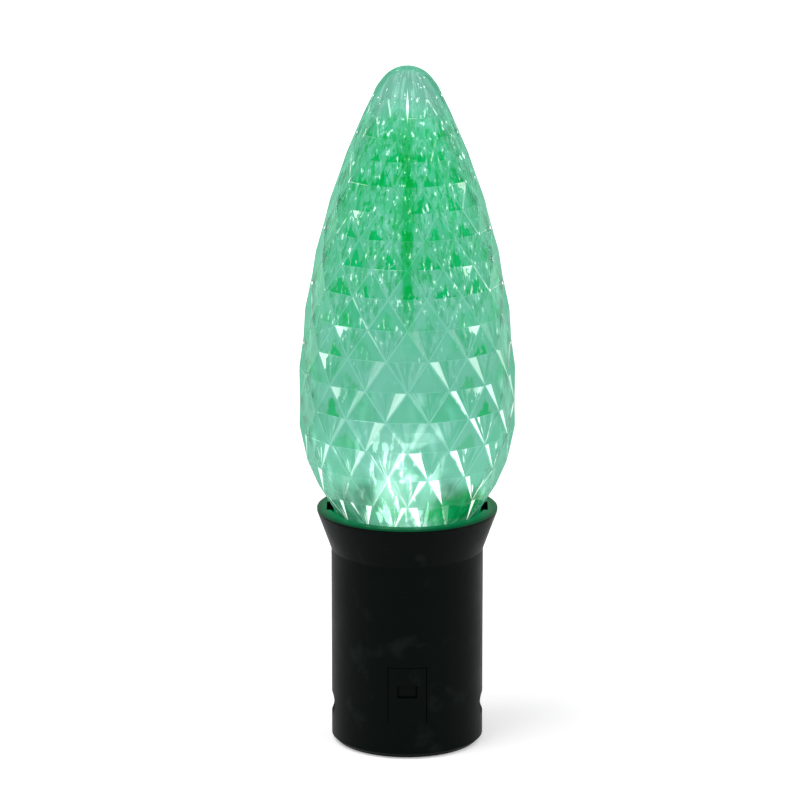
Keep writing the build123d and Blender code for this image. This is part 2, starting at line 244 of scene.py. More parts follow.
def facet_corner(row, height, place):
    """Corner of the facets; every second row is turned by half a facet."""
    turn = FULL_TURN * (place + ((row + 1) % 2) / 2) / FACETS_AROUND
    return Vector(polar(form_radius(height), turn, RIM_Z + height))


def facet_triangles(row_count):
    """Corner keys of each facet, in order seen from outside."""
    facets = []
    for row in range(row_count - 1):
        lead = (row + 1) % 2
        for place in range(FACETS_AROUND):
            after = (place + 1) % FACETS_AROUND
            facets.append([(row, place), (row, after), (row + 1, (place + lead) % FACETS_AROUND)])
            facets.append([(row + 1, after), (row + 1, place),
                           (row, (place + 1 - lead) % FACETS_AROUND)])
    return facets


def set_back(first, second, last_row):
    """Half width of the flat along an edge between two corners."""
    if first[0] != second[0]:
        return RIDGE_HALF
    return 0.0 if first[0] in (0, last_row) else CREASE_HALF


def level_of(z):
    """Share of the cover's height above the rim."""
    return (z - RIM_Z) / COVER_HEIGHT


def gleam_of(middle, chance):
    """Which side of a facet gleams with a painted highlight, and how much, from the place of its
    middle.
    """
    height = middle.z - RIM_Z
    turn = math.atan2(middle.y, middle.x)
    side = 1.0 if middle.x * middle.y < 0 else 0.0
    low = clamped((GLEAM_TOP - height) / GLEAM_FADE)
    lowest = clamped((GLEAM_LOW - height) / GLEAM_LOW_FADE)
    facing = 0.5 + 0.5 * math.cos(turn - GLEAM_TURN)
    facing = GLEAM_ELSEWHERE + (1 - GLEAM_ELSEWHERE) * facing**GLEAM_POWER
    amount = max(low * facing, GLEAM_LOWEST * lowest)
    return side, amount * (1.0 if chance > GLEAM_GAPS else GLEAM_IN_GAPS)


def shade_core_of(middle):
    """How much a facet has a deep core of painted shade: few low down, and there only left and
    right.
    """
    level = level_of(middle.z)
    sideways = abs(math.cos(math.atan2(middle.y, middle.x)))
    flank = clamped((sideways - CORES_SIDE) / CORES_SIDE_FADE)
    upper = clamped((level - CORES_FULL) / CORES_FADE)
    return clamped((level - CORES_START) / CORES_FADE) * max(upper, flank)


def mark_faces(bm, faces, kind, level, mood=PLAIN_MOOD):
    """Tells the material what some faces are, and how high up the cover they lie."""
    tone_layer = bm.loops.layers.float_vector["tone"]
    for face in faces:
        for loop in face.loops:
            loop[tone_layer] = (kind, mood, level)


def middle_of(spot, keys):
    """Middle of a facet."""
    return sum((spot[key] for key in keys), Vector()) / 3


def add_strips(bm, spot, corner, edges, draw):
    """Narrow flats along the edges that two facets share."""
    for pair in edges.values():
        if len(pair) == 2:
            (one, start, end), (other, _, _) = pair
            face = bm.faces.new([corner[one, end], corner[one, start],
                                 corner[other, start], corner[other, end]])
            level = level_of((spot[start].z + spot[end].z) / 2)
            mark_faces(bm, [face], STRIP, level, draw.random())


def add_corners(bm, spot, corner, fans, facets, last_row):
    """Small flats where facets meet; returns the points of the lowest and the highest edge."""
    rims = {0: [], last_row: []}
    for key, fan in fans.items():
        outward = Vector((spot[key].x, spot[key].y, 0)).normalized()
        sideways = Vector((0, 0, 1)).cross(outward)
        first_turn = math.pi if key[0] == last_row else 0.0

        def turn_of(number):
            middle = middle_of(spot, facets[number]) - spot[key]
            return (math.atan2(middle.z, middle.dot(sideways)) - first_turn) % FULL_TURN

        fan = sorted(fan, key=turn_of)
        ring = [corner[number, key] for number in fan]
        if key[0] in rims:
            ring.append(bm.verts.new(spot[key]))
            rims[key[0]] += [ring[0], ring[-2], ring[-1]]
        mark_faces(bm, [bm.faces.new(ring)], CORNER, level_of(spot[key].z))
    return rims[0], rims[last_row]


def add_facets(bm):
    """Facets with a narrow flat along each edge and a small one at each corner."""
    draw = random.Random(SEED)
    cell_layer = bm.loops.layers.float_vector.new("cell")
    tone_layer = bm.loops.layers.float_vector.new("tone")
    gleam_layer = bm.loops.layers.float_vector.new("gleam")
    rows = row_heights()
    last_row = len(rows) - 1
    spot = {(row, place): facet_corner(row, height, place)
            for row, height in enumerate(rows) for place in range(FACETS_AROUND)}
    corner, edges, fans = {}, {}, {}
    facets = facet_triangles(len(rows))
    for number, keys in enumerate(facets):
        ring = []
        for index, key in enumerate(keys):
            after, before = keys[(index + 1) % 3], keys[index - 1]
            along = (spot[after] - spot[key]).normalized()
            back = (spot[before] - spot[key]).normalized()
            sine = along.cross(back).length
            place = (spot[key] + along * set_back(key, before, last_row) / sine
                     + back * set_back(key, after, last_row) / sine)
            ring.append(bm.verts.new(place))
            corner[number, key] = ring[-1]
            edges.setdefault(frozenset((key, after)), []).append((number, key, after))
            fans.setdefault(key, []).append(number)
        face = bm.faces.new(ring)
        down = keys[0][0] > keys[2][0]
        middle = middle_of(spot, keys)
        chance, mood = draw.random(), draw.random()
        tone = (POINTS_DOWN if down else POINTS_UP, mood, level_of(middle.z))
        # Facets that point down carry the side and amount of their painted highlight; those that
        # point up carry the strength of their core of painted shade
        gleam = (*gleam_of(middle, chance), chance) if down else (shade_core_of(middle), 0.0, chance)
        for loop, weight in zip(face.loops, CELL_DOWN if down else CELL_UP):
            loop[cell_layer] = weight
            loop[tone_layer] = tone
            loop[gleam_layer] = gleam
    add_strips(bm, spot, corner, edges, draw)
    foot, top = add_corners(bm, spot, corner, fans, facets, last_row)
    return foot, top, rows[-1]


def add_round_tip(bm, edge, top_row):
    """Smooth round end; its lowest ring has the facets' sides and it rounds off above them."""
    radius = TIP_RADIUS - TIP_INSET
    low_radius = form_radius(top_row)
    side_turn = FULL_TURN / FACETS_AROUND
    first_turn = side_turn * ((len(row_heights()) % 2) / 2)
    base = math.asin((top_row - TIP_CENTRE) / radius)
    faces = []
    lower = edge
    for step in range(TIP_RINGS):
        share = step / TIP_RINGS
        turn = base + (math.pi / 2 - base) * share
        round_part = min(1.0, TIP_ROUNDING * share)
        radii = []
        for side in range(ROUND_SIDES):
            off = (FULL_TURN * side / ROUND_SIDES - first_turn) % side_turn - side_turn / 2
            flat = low_radius * math.cos(side_turn / 2) / math.cos(off)
            scale = flat + (radius * math.cos(base) - flat) * round_part
            radii.append(scale * math.cos(turn) / math.cos(base))
        ring = add_ring(bm, radii, RIM_Z + TIP_CENTRE + radius * math.sin(turn) + TIP_LIFT)
        faces += join_rings(bm, lower, ring, smooth=step > 0)
        lower = ring
    faces += close_ring(bm, lower, RIM_Z + TIP_CENTRE + radius, smooth=True)
    mark_faces(bm, faces, TIP, 1.0)


def flute_ring(bm, height):
    """Ring of the fluted inside at a height above the rim."""
    radius = form_radius(height, COVER_WALL)
    depth = FLUTE_DEPTH * min(1.0, radius / NECK_BORE)
    radii = [radius - depth * (side % 2) for side in range(2 * FLUTES)]
    return add_ring(bm, radii, RIM_Z + height)


def add_inside(bm, edge):
    """Neck bore and fluted hollow; each face is told how near it is to the painted shaft of light.
    """
    across = LOWER_CURVE - BELLY_RADIUS + NECK_BORE
    low = BELLY_HEIGHT - math.sqrt((LOWER_CURVE - COVER_WALL)**2 - across**2)
    bore = add_ring(bm, [NECK_BORE] * ROUND_SIDES, RIM_Z + low)
    join_rings(bm, edge, bore, smooth=True)
    joint = tip_joint(COVER_WALL)
    heights = [low + FLUTE_START + (joint - low - FLUTE_START) * band / FLUTE_BANDS
               for band in range(FLUTE_BANDS + 1)]
    inner_tip = TIP_RADIUS - COVER_WALL
    base = math.asin((joint - TIP_CENTRE) / inner_tip)
    for step in range(1, INNER_TIP_RINGS):
        turn = base + (math.pi / 2 - base) * step / INNER_TIP_RINGS
        heights.append(TIP_CENTRE + inner_tip * math.sin(turn))
    lower = bore
    for height in heights:
        ring = flute_ring(bm, height)
        for face in join_rings(bm, lower, ring, smooth=True):
            middle = face.calc_center_median()
            near = max(0.0, math.cos(math.atan2(middle.y, middle.x) - SHAFT_TURN))
            mark_faces(bm, [face], INSIDE, height / COVER_HEIGHT, near**SHAFT_POWER)
        lower = ring
    close_ring(bm, lower, RIM_Z + TIP_CENTRE + inner_tip)


def cover_mesh():
    """Facets, tip, neck and inside as one closed mesh; the neck counts as a facet at the rim."""
    bm = bmesh.new()
    foot, top, top_row = add_facets(bm)
    add_round_tip(bm, top, top_row)
    neck_top = add_ring(bm, [NECK_RADIUS] * ROUND_SIDES, RIM_Z + FIRST_ROW)
    faces = join_rings(bm, foot, neck_top)
    neck_z = RIM_Z + FIRST_ROW - NECK_LENGTH
    outer = add_ring(bm, [NECK_RADIUS] * ROUND_SIDES, neck_z)
    faces += join_rings(bm, neck_top, outer, smooth=True)
    inner = add_ring(bm, [NECK_BORE] * ROUND_SIDES, neck_z)
    faces += join_rings(bm, outer, inner)
    mark_faces(bm, faces, POINTS_UP, 0.0, 1.0)
    add_inside(bm, inner)
    return bm


# Screw shell


def thread_radius(turn, z):
    """Outer radius of the rolled shell; the crest climbs by one pitch in each turn."""
    top = SHELL_TOP - SHELL_PLAIN
    wave = 0.5 + 0.5 * math.cos(FULL_TURN * (z / THREAD_PITCH) - turn)
    wave = wave * wave * (3 - 2 * wave)
    if z > top:
        wave += (1 - wave) * min(1.0, (z - top) / (0.5 * THREAD_FADE))
    fade = clamped((z - SHELL_LOW) / THREAD_FADE)
    return SHELL_RADIUS - THREAD_DEPTH + THREAD_DEPTH * wave * fade


def shell_ring(bm, z, inset):
    radii = [thread_radius(FULL_TURN * side / ROUND_SIDES, z) - inset
             for side in range(ROUND_SIDES)]
    return add_ring(bm, radii, z)


def shell_mesh():
    """Thin metal shell with a true screw thread, and a lip turned in at its lower end."""
    bm = bmesh.new()
    heights = [SHELL_TOP - (SHELL_TOP - SHELL_LOW) * row / SHELL_ROWS
               for row in range(SHELL_ROWS + 1)]
    first = shell_ring(bm, heights[0], 0.0)
    upper = first
    for z in heights[1:]:
        ring = shell_ring(bm, z, 0.0)
        join_rings(bm, ring, upper, smooth=True)
        upper = ring
    lip = SHELL_RADIUS - THREAD_DEPTH - LIP_WIDTH
    for z in (SHELL_LOW, SHELL_LOW + SHEET):
        ring = add_ring(bm, [lip] * ROUND_SIDES, z)
        join_rings(bm, ring, upper)
        upper = ring
    # The inner side has half as many rings, which end clear of the lip
    for z in reversed(heights[:-4:2]):
        ring = shell_ring(bm, z, SHEET)
        join_rings(bm, ring, upper, smooth=True)
        upper = ring
    join_rings(bm, first, upper)
    return bm


# Materials


def new_material(name, colour, roughness=0.5, metallic=0.0, **sockets):
    """Principled material; a keyword names a socket, with underscores for its spaces."""
    made = bpy.data.materials.new(name)
    made.use_nodes = True
    shader = made.node_tree.nodes["Principled BSDF"]
    shader.inputs["Base Color"].default_value = (*colour, 1)
    shader.inputs["Roughness"].default_value = roughness
    shader.inputs["Metallic"].default_value = metallic
    for socket, value in sockets.items():
        shader.inputs[socket.replace("_", " ")].default_value = value
    return made


class Graph:
    """Short calls for the nodes of one material or world."""

    def __init__(self, tree):
        self.tree = tree
        self.shader = tree.nodes.get("Principled BSDF")

    def node(self, kind):
        return self.tree.nodes.new("ShaderNode" + kind)

    def put(self, socket, value):
        if isinstance(value, bpy.types.NodeSocket):
            self.tree.links.new(value, socket)
        else:
            socket.default_value = value

    def set(self, name, value):
        """Gives a socket of the material's shader its value."""
        self.put(self.shader.inputs[name], value)

    def math(self, operation, first, second=0.0):
        node = self.node("Math")
        node.operation = operation
        self.put(node.inputs[0], first)
        self.put(node.inputs[1], second)
        return node.outputs[0]

    def plus(self, first, second):
        return self.math("ADD", first, second)

    def minus(self, first, second):
        return self.math("SUBTRACT", first, second)

    def times(self, first, *others):
        for other in others:
            first = self.math("MULTIPLY", first, other)
        return first

    def rest(self, value):
        """What is left of 1."""
        return self.minus(1.0, value)

    def least(self, first, second):
        return self.math("MINIMUM", first, second)

    def most(self, first, second):
        return self.math("MAXIMUM", first, second)

    def absolute(self, value):
        return self.math("ABSOLUTE", value)

    def step(self, value, start, end):
        """Smooth step from 0 at start to 1 at end."""
        node = self.node("MapRange")
        node.interpolation_type = "SMOOTHSTEP"
        self.put(node.inputs["Value"], value)
        node.inputs["From Min"].default_value = start
        node.inputs["From Max"].default_value = end
        return node.outputs[0]

    def span(self, value, low, high):
        """Maps 0 to 1 onto low to high."""
        node = self.node("MapRange")
        self.put(node.inputs["Value"], value)
        node.inputs["To Min"].default_value = low
        node.inputs["To Max"].default_value = high
        return node.outputs[0]

    def blend(self, amount, first, second):
        node = self.node("Mix")
        node.data_type = "RGBA"
        self.put(node.inputs["Factor"], amount)
        self.put(node.inputs["A"], first)
        self.put(node.inputs["B"], second)
        return node.outputs["Result"]

    def layer(self, colour, layers):
        """Lays colours over a first one, each by its own amount."""
        for amount, over in layers:
            colour = self.blend(amount, colour, over)
        return colour

    def parts(self, vector):
        node = self.node("SeparateXYZ")
        self.put(node.inputs[0], vector)
        return node.outputs[0], node.outputs[1], node.outputs[2]

    def join(self, x, y, z):
        node = self.node("CombineXYZ")
        for socket, value in zip(node.inputs, (x, y, z)):
            self.put(socket, value)
        return node.outputs[0]

    def distance(self, first, second=ORIGIN):
        node = self.node("VectorMath")
        node.operation = "DISTANCE"
        self.put(node.inputs[0], first)
        self.put(node.inputs[1], second)
        return node.outputs["Value"]

    def attribute(self, name):
        node = self.node("Attribute")
        node.attribute_name = name
        return node.outputs["Vector"]

    def facing(self):
        """0 where the surface is seen square on, 1 where it is seen edge on."""
        return self.node("LayerWeight").outputs["Facing"]

    def normal(self):
        return self.node("TexCoord").outputs["Normal"]

    def place(self):
        """Place on the piece at rest, in metres."""
        return self.node("TexCoord").outputs["Object"]

    def seen(self):
        """1 for rays from the camera, and after a reflection or on the way through the cover."""
        path = self.node("LightPath")
        direct = self.most(path.outputs["Is Camera Ray"], path.outputs["Is Glossy Ray"])
        return self.most(direct, path.outputs["Is Transmission Ray"])

    def noise(self, vector, scale, detail=2.0, stretch=(1, 1, 1)):
        mapping = self.node("Mapping")
        mapping.inputs["Scale"].default_value = stretch
        self.put(mapping.inputs["Vector"], vector)
        node = self.node("TexNoise")
        node.inputs["Scale"].default_value = scale
        node.inputs["Detail"].default_value = detail
        self.put(node.inputs["Vector"], mapping.outputs[0])
        return node.outputs["Fac"]

    def bump(self, height, strength, distance):
        node = self.node("Bump")
        node.inputs["Strength"].default_value = strength
        node.inputs["Distance"].default_value = distance
        self.put(node.inputs["Height"], height)
        self.set("Normal", node.outputs[0])


# Tints of the cover
INNER_TINT = (0.66, 0.80, 0.80, 1)
INNER_EDGE = (0.35, 0.74, 0.6, 1)
STREAK_TINT = (0.01, 0.62, 0.2, 1)
HIGH_TINT = (0.11, 0.51, 0.295, 1)
LOW_TINT = (0.22, 0.53, 0.415, 1)
FACET_SHADE = (0.03, 0.45, 0.19, 1)
DEEP_TINT = (0.0003, 0.38, 0.06, 1)
PALE_TINT = (0.40, 0.76, 0.64, 1)
EDGE_TINT = (0.09, 0.52, 0.32, 1)
TIP_TINT = (0.20, 0.53, 0.40, 1)
COVER_ROUGHNESS = 0.03
INNER_ROUGHNESS = 0.28
CLEAR = 0.93
NEARLY_OPAQUE = 0.15

# Light of the cover, before its emission strength. It is painted: the lamps' glow and shaft of
# light on the inside, and white highlights and sparks on the outside.
COVER_EMISSION = 0.08
DARK = (0.0, 0.0, 0.0, 1)
GLOW = (0.9, 1.5, 1.2, 1)
GLEAM = (14.0, 14.0, 14.0, 1)
SHAFT = (28.0, 25.0, 25.0, 1)
SPARK = (50.0, 50.0, 50.0, 1)

# Places on the cover, in metres: the seams inside, the long glint of painted highlight, the top of
# the patches of painted shade at the seat, and the deep patch of painted shade at its right, where
# height counts more
SEAM_HALF = (0.0005, 0.0009)
SEAM_SWAY = 0.002
GLINT_Z = 0.0868
GLINT_HALF = (0.00012, 0.00022)
GLINT_TAPER = 0.09
SEAT_SHADE_HEIGHTS = (0.0335, 0.0375)
SHADE_PATCH_PLACE = (0.0066, -0.0086, 0.0545)
SHADE_PATCH_REACH = (0.0028, 0.006)
SHADE_PATCH_SWAY = 0.006
HEIGHT_COUNTS = 1.6


class CoverGraph(Graph):
    """Pattern of the cover. The numbers of a step are where it starts and ends, in shares of the
    cover's height, of a facet, of a noise or of the angle of view. Those of a noise are its scale
    and its detail."""

    def __init__(self, tree):
        super().__init__(tree)
        self.left, self.right, self.apex = self.parts(self.attribute("cell"))
        self.kind, self.mood, self.level = self.parts(self.attribute("tone"))
        # Side and amount of a facet's painted highlight; on facets that point up, side holds the
        # strength of their core of painted shade
        self.side, self.gleam, self.chance = self.parts(self.attribute("gleam"))
        self.x, self.y, self.z = self.parts(self.place())
        self.tilt = self.facing()
        self.inside = self.math("LESS_THAN", self.kind, (INSIDE + POINTS_UP) / 2)
        self.outside = self.rest(self.inside)
        self.up = self.is_kind(POINTS_UP)
        self.down = self.is_kind(POINTS_DOWN)
        past_facets = self.math("GREATER_THAN", self.kind, (POINTS_DOWN + STRIP) / 2)
        self.ridge = self.times(past_facets, self.rest(self.is_kind(TIP)))
        self.high = self.step(self.level, 0.4, 0.8)
        self.busy = self.step(self.level, 0.28, 0.62)
        # Broad and fine noise all over, streaks up the cover, and fans from each facet's apex
        broad = self.noise(self.place(), 900.0, 3.0, stretch=(1, 1, 0.6))
        self.broad = self.times(self.minus(broad, 0.5), self.span(self.high, 0.66, 0.7))
        fine = self.noise(self.place(), 2100.0, 3.0, stretch=(1, 1, 0.35))
        self.fine = self.times(self.minus(fine, 0.5), 1.1)
        radius = self.distance(self.join(self.x, self.y, 0.0))
        outward = self.math("DIVIDE", 1.0, self.plus(radius, 0.0001))
        self.sideways = self.times(self.x, outward)
        turned = self.join(self.sideways, self.times(self.y, outward), self.times(self.z, 22.0))
        self.streak = self.noise(turned, 13.0, 3.0)
        both = self.plus(self.plus(self.left, self.right), 0.001)
        self.across = self.math("DIVIDE", self.left, both)
        fan = self.join(self.across, self.times(self.chance, 40.0), self.times(self.apex, 0.12))
        self.fan = self.noise(fan, 7.0, 3.0)

    def is_kind(self, kind):
        return self.math("COMPARE", self.kind, kind)

    def shade_cores(self):
        """Painted shade: deep patches in the facets that point up, each with its own margins left
        and right.
        """
        left = self.minus(self.left, self.span(self.chance, 0.0, 0.42))
        right = self.minus(self.right, self.span(self.mood, 0.36, 0.0))
        depth = self.least(self.least(left, right), self.minus(0.62, self.apex))
        ragged = self.times(self.fine, self.span(self.high, 0.1, 1.2))
        depth = self.plus(depth, self.plus(self.broad, ragged))
        return self.times(self.step(depth, -0.03, 0.12), self.times(self.up, self.side))

    def inner_streaks(self):
        """Deep streaks up the inside, and a seam at the front, the back and both sides."""
        end = self.step(self.level, 0.8, 0.93)
        streaks = self.times(self.step(self.streak, 0.55, 0.6), self.minus(self.high, end))
        seam = self.least(self.absolute(self.x), self.absolute(self.y))
        seam = self.minus(seam, self.times(self.minus(self.streak, 0.5), SEAM_SWAY))
        seam = self.rest(self.step(seam, *SEAM_HALF))
        seam = self.times(seam, self.minus(self.step(self.level, 0.38, 0.55), end))
        return self.most(streaks, seam)

    def highlight_wedges(self):
        """Painted highlights: white wedges along one side of the facets that gleam, and rays in
        about half of them.
        """
        gleaming = self.times(self.gleam, self.down)
        half = self.absolute(self.minus(self.rest(self.side), self.across))
        half = self.minus(half, self.span(self.mood, 0.0, 0.16))
        wedge = self.times(self.step(half, 0.69, 0.72), gleaming)
        rays = self.times(self.step(self.fan, 0.62, 0.66), gleaming)
        return self.most(wedge, self.times(rays, self.math("GREATER_THAN", self.mood, 0.5)))

    def highlight_flecks(self):
        """Painted highlights: white flecks in the outer half of some facets on the flanks, clear
        of the outline.
        """
        on_left = self.math("LESS_THAN", self.sideways, 0.0)
        outer = self.plus(self.times(self.left, on_left),
                          self.times(self.right, self.rest(on_left)))
        fleck = self.step(self.plus(outer, self.times(self.fine, 1.4)), 0.57, 0.64)
        flank = self.absolute(self.sideways)
        flank = self.minus(self.step(flank, 0.5, 0.65), self.step(flank, 0.84, 0.9))
        flank = self.times(flank, self.math("GREATER_THAN", self.mood, 0.42))
        band = self.minus(self.step(self.level, 0.24, 0.34), self.step(self.level, 0.7, 0.8))
        return self.times(fleck, flank, self.times(band, self.down))

    def glints(self):
        """Painted highlight: gleam on a few of the narrow flats along the edges."""
        return self.times(self.ridge, self.step(self.mood, 0.84, 0.95),
                          self.step(self.broad, -0.1, 0.1))

    def highlight_strokes(self):
        """Painted highlights: short strokes on faces seen square on, and one long glint at the
        front, near the tip.
        """
        square_on = self.times(self.outside, self.rest(self.step(self.tilt, 0.45, 0.65)))
        short = self.times(self.rest(self.step(self.fine, -0.2, -0.17)), self.busy, square_on)
        away = self.times(self.absolute(self.minus(self.z, GLINT_Z)), GLINT_TAPER)
        away = self.plus(self.absolute(self.x), away)
        long = self.rest(self.step(away, *GLINT_HALF))
        long = self.times(long, self.outside, self.math("LESS_THAN", self.y, 0.0))
        return self.most(self.times(short, 0.55), long)

    def sparks(self):
        """Painted highlights: sparks at some of the upper corners, where they are seen at a slant.
        """
        corner = self.most(self.apex, self.most(self.left, self.right))
        corner = self.most(self.is_kind(CORNER), self.step(corner, 0.945, 0.965))
        slant = self.minus(self.step(self.tilt, 0.45, 0.6), self.step(self.tilt, 0.66, 0.74))
        some = self.step(self.noise(self.place(), 260.0, 1.0), 0.42, 0.52)
        return self.times(slant, corner, self.step(self.level, 0.3, 0.5), some)

    def seat_shade_patches(self):
        """Painted shade: patches of deep green all around, just above the holder's mouth, where
        its dark shows through.
        """
        patches = self.step(self.noise(self.place(), 170.0, 2.0), 0.48, 0.6)
        return self.times(patches, self.rest(self.step(self.z, *SEAT_SHADE_HEIGHTS)))

    def shade_patch(self):
        """Painted shade: one large deep patch at the right of the seat, where the dark holder
        shows through.
        """
        place = self.join(self.x, self.y, self.times(self.z, HEIGHT_COUNTS))
        away = self.distance(place, SHADE_PATCH_PLACE)
        away = self.plus(away, self.times(self.broad, SHADE_PATCH_SWAY))
        return self.rest(self.step(away, *SHADE_PATCH_REACH))

    def tint(self):
        """Colour of the plastic, with painted light low down and painted shade and highlights laid
        over it: facets first, then strokes, tip, edge, and the inside.
        """
        shade_down = self.times(self.most(self.span(self.mood, -0.4, 0.62), 0.0), self.down)
        shade_up = self.times(self.most(self.span(self.mood, -0.2, 0.85), 0.0), self.up)
        shade = self.times(self.plus(shade_down, shade_up),
                           self.span(self.step(self.level, 0.06, 0.4), 0.35, 1.0))
        dark_fan = self.times(self.rest(self.step(self.fan, 0.38, 0.46)), self.down)
        pale_fan = self.times(self.step(self.fan, 0.52, 0.6), self.down)
        dark_strokes = self.times(self.step(self.fine, 0.07, 0.09),
                                  self.times(self.busy, self.down))
        pale_strokes = self.times(self.rest(self.step(self.fine, -0.12, -0.1)), self.busy)
        wisps = self.times(self.step(self.streak, 0.5, 0.56), 0.75)
        tip = self.blend(wisps, TIP_TINT, PALE_TINT)
        inner = self.blend(self.step(self.tilt, 0.5, 0.9), INNER_TINT, INNER_EDGE)
        inner = self.blend(self.inner_streaks(), inner, STREAK_TINT)
        # Paler low down, near the lamps: painted light
        return self.layer(self.blend(self.step(self.level, 0.1, 0.85), LOW_TINT, HIGH_TINT), (
            (shade, FACET_SHADE),
            (self.times(dark_fan, 0.4), FACET_SHADE),
            (self.times(pale_fan, 0.6), PALE_TINT),
            (self.times(dark_strokes, 0.8), DEEP_TINT),
            (self.shade_cores(), DEEP_TINT),
            (self.times(pale_strokes, 0.7), PALE_TINT),
            # The narrow flats along the edges are made paler: painted highlight
            (self.times(self.ridge, self.span(self.high, 0.6, 0.15)), PALE_TINT),
            (self.times(self.seat_shade_patches(), 0.6), DEEP_TINT),
            (self.step(self.level, 0.86, 0.95), tip),
            (self.times(self.step(self.tilt, 0.3, 0.6), 0.92), EDGE_TINT),
            (self.shade_patch(), DEEP_TINT),
            (self.inside, inner)))

    def glow(self):
        """Painted light of the lamps on the inside, low down and in its shaft, and the painted
        highlights on the outside.
        """
        low = self.times(self.inside, self.rest(self.step(self.level, 0.0, 0.3)))
        shaft = self.times(self.inside, self.rest(self.step(self.level, 0.12, 0.28)))
        cloud = self.step(self.noise(self.place(), 300.0, 2.0), 0.56, 0.7)
        cloud = self.most(self.step(self.streak, 0.56, 0.64), cloud)
        column = self.times(self.step(self.mood, 0.62, 0.96), self.span(self.streak, 0.0, 0.32))
        shaft = self.times(shaft, self.times(self.mood, self.most(cloud, column)))
        return self.layer(DARK, (
            (low, GLOW),
            (shaft, SHAFT),
            (self.times(self.glints(), 0.5), GLEAM),
            (self.highlight_strokes(), GLEAM),
            (self.sparks(), SPARK),
            (self.most(self.highlight_wedges(), self.times(self.highlight_flecks(), 0.6)), GLEAM)))

    def clouded(self):
        """Where less light passes: faces seen edge on, and the tip."""
        tip = self.times(self.step(self.level, 0.86, 0.98), 0.6)
        return self.times(self.most(self.step(self.tilt, 0.6, 0.85), tip), self.outside)


def cover_material():
    """Clear green plastic: deep cores of painted shade in the facets, pale ridges of painted
    highlight, white painted highlights low down, and painted light of the lamps inside.
    """
    made = new_material("cover_green", LOW_TINT[:3], roughness=COVER_ROUGHNESS, IOR=1.3,
                        Emission_Strength=COVER_EMISSION, Specular_IOR_Level=0.0,
                        Specular_Tint=(0.12, 0.9, 0.5, 1))
    g = CoverGraph(made.node_tree)
    g.set("Base Color", g.tint())
    g.set("Roughness", g.span(g.inside, COVER_ROUGHNESS, INNER_ROUGHNESS))
    g.set("Transmission Weight", g.span(g.clouded(), CLEAR, NEARLY_OPAQUE))
    g.set("Emission Color", g.glow())
    return made


# Holder's mouth, in metres: its radius, the height where its painted light from the bulb begins,
# and the radii between which that light fades outwards
MOUTH_RADIUS = (0.00998, 0.01004)
LIT_ABOVE = (0.0292, 0.0300)
LIGHT_FADE = (0.0094, 0.0125)
HOLDER_BLACK = (0.0012, 0.003, 0.0022, 1)
HOLDER_SCUFFED = (0.006, 0.009, 0.008, 1)
MOUTH_LIGHT_GREEN = (0.001, 0.24, 0.08, 1)


def holder_material():
    """Moulded black plastic with a fine grain, scuffed, and with painted green light from the bulb
    inside its mouth.
    """
    made = new_material("holder_plastic", (0.003, 0.005, 0.004), roughness=0.42,
                        Specular_IOR_Level=0.035, Emission_Strength=1.0)
    g = Graph(made.node_tree)
    x, y, z = g.parts(g.place())
    grain = g.noise(g.place(), 3200.0, 2.0)
    scuff = g.noise(g.place(), 260.0, 5.0)
    g.set("Base Color", g.blend(g.step(scuff, 0.56, 0.74), HOLDER_BLACK, HOLDER_SCUFFED))
    g.set("Roughness", g.span(scuff, 0.3, 0.56))
    g.bump(g.plus(grain, g.times(scuff, 0.6)), 0.3, 0.00006)
    radius = g.distance(g.join(x, y, 0.0))
    rising = g.step(g.parts(g.normal())[2], 0.2, 0.9)
    within = g.rest(g.step(radius, *MOUTH_RADIUS))
    near = g.span(g.rest(g.step(radius, *LIGHT_FADE)), 0.25, 1.0)
    lit = g.times(g.most(rising, within), g.step(z, *LIT_ABOVE), near)
    g.set("Emission Color", g.blend(lit, DARK, MOUTH_LIGHT_GREEN))
    return made


# Grain of the other materials, which can be drawn out around the axis
AROUND_AXIS = (0.12, 0.12, 1)
GRAIN_STEP = (0.36, 0.64)
FINER = 7
FINE_SHARE = 0.4
GRAIN_BUMP = 0.5


def grained(name, first, second, scale, rough, relief=0.00002, stretch=(1, 1, 1), **sockets):
    """Material whose colour, roughness and surface follow a noise; returns its graph too."""
    made = new_material(name, first, roughness=rough[0], **sockets)
    g = Graph(made.node_tree)
    broad = g.noise(g.place(), scale, 4.0, stretch)
    fine = g.noise(g.place(), scale * FINER, 2.0, stretch)
    share = g.step(broad, *GRAIN_STEP)
    g.colour = g.blend(share, (*first, 1), (*second, 1))
    g.height = g.plus(broad, g.times(fine, FINE_SHARE))
    g.set("Base Color", g.colour)
    g.set("Roughness", g.span(share, *rough))
    g.bump(g.height, GRAIN_BUMP, relief)
    return made, g


def plain_grained(*values, **sockets):
    """Such a material alone, for pieces that need nothing more."""
    return grained(*values, **sockets)[0]


# Rings of the resistor: their places in shares of its length, and half their width in metres
RING_BROWN = (0.12, 0.045, 0.02, 1)
RING_BLACK = (0.01, 0.01, 0.01, 1)
RING_GOLD = (0.5, 0.36, 0.1, 1)
RINGS = ((0.2, RING_BROWN), (0.36, RING_BLACK), (0.52, RING_BROWN), (0.8, RING_GOLD))
RING_HALF = (0.00022, 0.00026)


def resistor_material():
    """Blue lacquer with four generic colour rings."""
    made, g = grained("resistor_blue", (0.09, 0.26, 0.42), (0.12, 0.32, 0.48), 900.0, (0.3, 0.42))
    low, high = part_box("ballast_resistor")
    z = g.parts(g.place())[2]
    rings = []
    for share, paint in RINGS:
        away = g.absolute(g.minus(z, low[2] + (high[2] - low[2]) * share))
        rings.append((g.rest(g.step(away, *RING_HALF)), paint))
    g.set("Base Color", g.layer(g.colour, rings))
    return made


